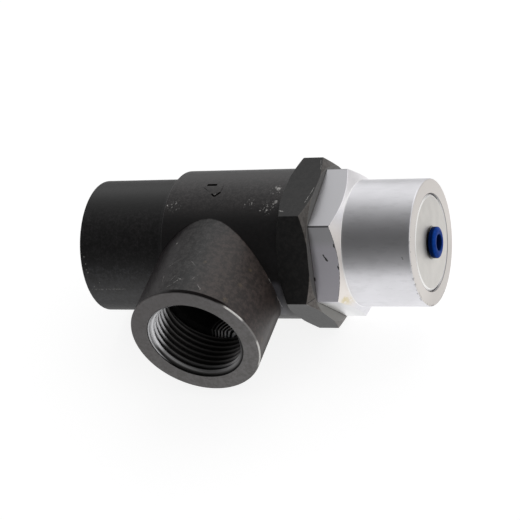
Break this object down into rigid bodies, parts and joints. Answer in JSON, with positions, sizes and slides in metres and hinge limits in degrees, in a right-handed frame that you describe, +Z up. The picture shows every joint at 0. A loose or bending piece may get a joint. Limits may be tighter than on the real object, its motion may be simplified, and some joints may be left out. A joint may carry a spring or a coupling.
{
  "type": "minimum pressure valve",
  "caption": "Inline minimum pressure and check valve with threaded inlet, side outlet, hexagon spring cap and push-in tube port in its end.",
  "frame": {"origin": "centre of the inlet port's mouth", "axes": "+X along the main axis from the inlet to the cap, -Y out of the outlet port, +Z up with a flat of the body hexagon down"},
  "size_m": [0.0982, 0.0615, 0.041],
  "materials": {
    "black_body": "matte black anodised",
    "satin_aluminium": "satin turned, clear anodised",
    "plug_aluminium": "matte, clear anodised",
    "piston_aluminium": "hard anodised",
    "brass": "turned",
    "stainless_steel": "bright",
    "spring_steel": "oiled spring wire",
    "seal_rubber": "matte black",
    "guide_plastic": "matte bronze-filled plastic",
    "blue_plastic": "moulded blue"
  },
  "bodies": {
    "root": {"valve_body": "black_body", "spring_cap": "satin_aluminium", "cap_seal_ring": "seal_rubber", "end_plug": "plug_aluminium", "plug_seal_ring": "seal_rubber", "fitting_sleeve": "brass", "grip_ring": "stainless_steel", "tube_seal_ring": "seal_rubber", "spring_washer": "stainless_steel", "main_spring": "spring_steel"},
    "poppet": {"check_poppet": "brass", "poppet_seat_disc": "seal_rubber", "seat_disc_washer": "stainless_steel", "seat_disc_screw": "stainless_steel", "check_spring": "spring_steel"},
    "piston": {"piston": "piston_aluminium", "piston_guide_band": "guide_plastic", "piston_seal_ring": "seal_rubber", "stem_bush": "brass"},
    "release": {"release_ring": "blue_plastic"}
  },
  "joints": [
    {"name": "poppet_lift", "type": "slide", "parent": "root", "child": "poppet", "axis": [1, 0, 0], "range_m": [0, 0.0045], "stiffness_N_per_m": 9200, "springref_m": -0.0192, "deforming": ["main_spring"]},
    {"name": "piston_lift", "type": "slide", "parent": "poppet", "child": "piston", "axis": [1, 0, 0], "range_m": [0, 0.0045], "stiffness_N_per_m": 9200, "springref_m": -0.0192, "deforming": ["check_spring"]},
    {"name": "release_push", "type": "slide", "parent": "root", "child": "release", "axis": [-1, 0, 0], "range_m": [0, 0.0004], "stiffness_N_per_m": 500, "springref_m": -0.001}
  ]
}
